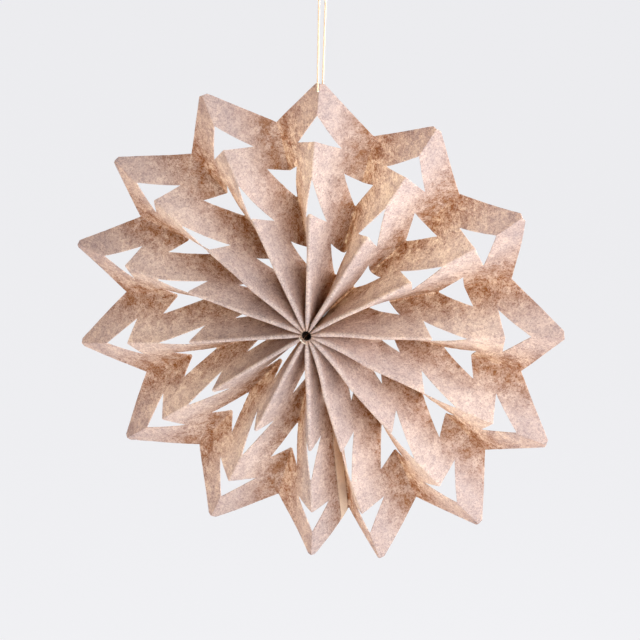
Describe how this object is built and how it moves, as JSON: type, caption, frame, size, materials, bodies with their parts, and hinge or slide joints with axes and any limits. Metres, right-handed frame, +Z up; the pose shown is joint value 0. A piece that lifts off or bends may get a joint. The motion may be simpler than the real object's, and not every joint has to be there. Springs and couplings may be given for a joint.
{
  "type": "paper snowflake",
  "caption": "Hanging ornament: one pleated paper sheet, notched through its folds and drawn round into a pointed star by a thread at the hub, on a thread loop.",
  "frame": {"origin": "inside the top of the hanging loop, where a hook bears", "axes": "+Z up along the hanging thread, +Y from the front of the star to its back along the hub's axis, +X to the right seen from the front"},
  "size_m": [0.3105, 0.0336, 0.3836],
  "materials": {
    "felted_paper": "matt, flecked with grey-brown fibres",
    "hanging_thread": "twisted, slightly glossy",
    "hub_thread": "plain sewing thread"
  },
  "bodies": {
    "root": {"paper_star": "felted_paper", "hanging_thread": "hanging_thread", "hub_thread": "hub_thread"}
  },
  "joints": []
}
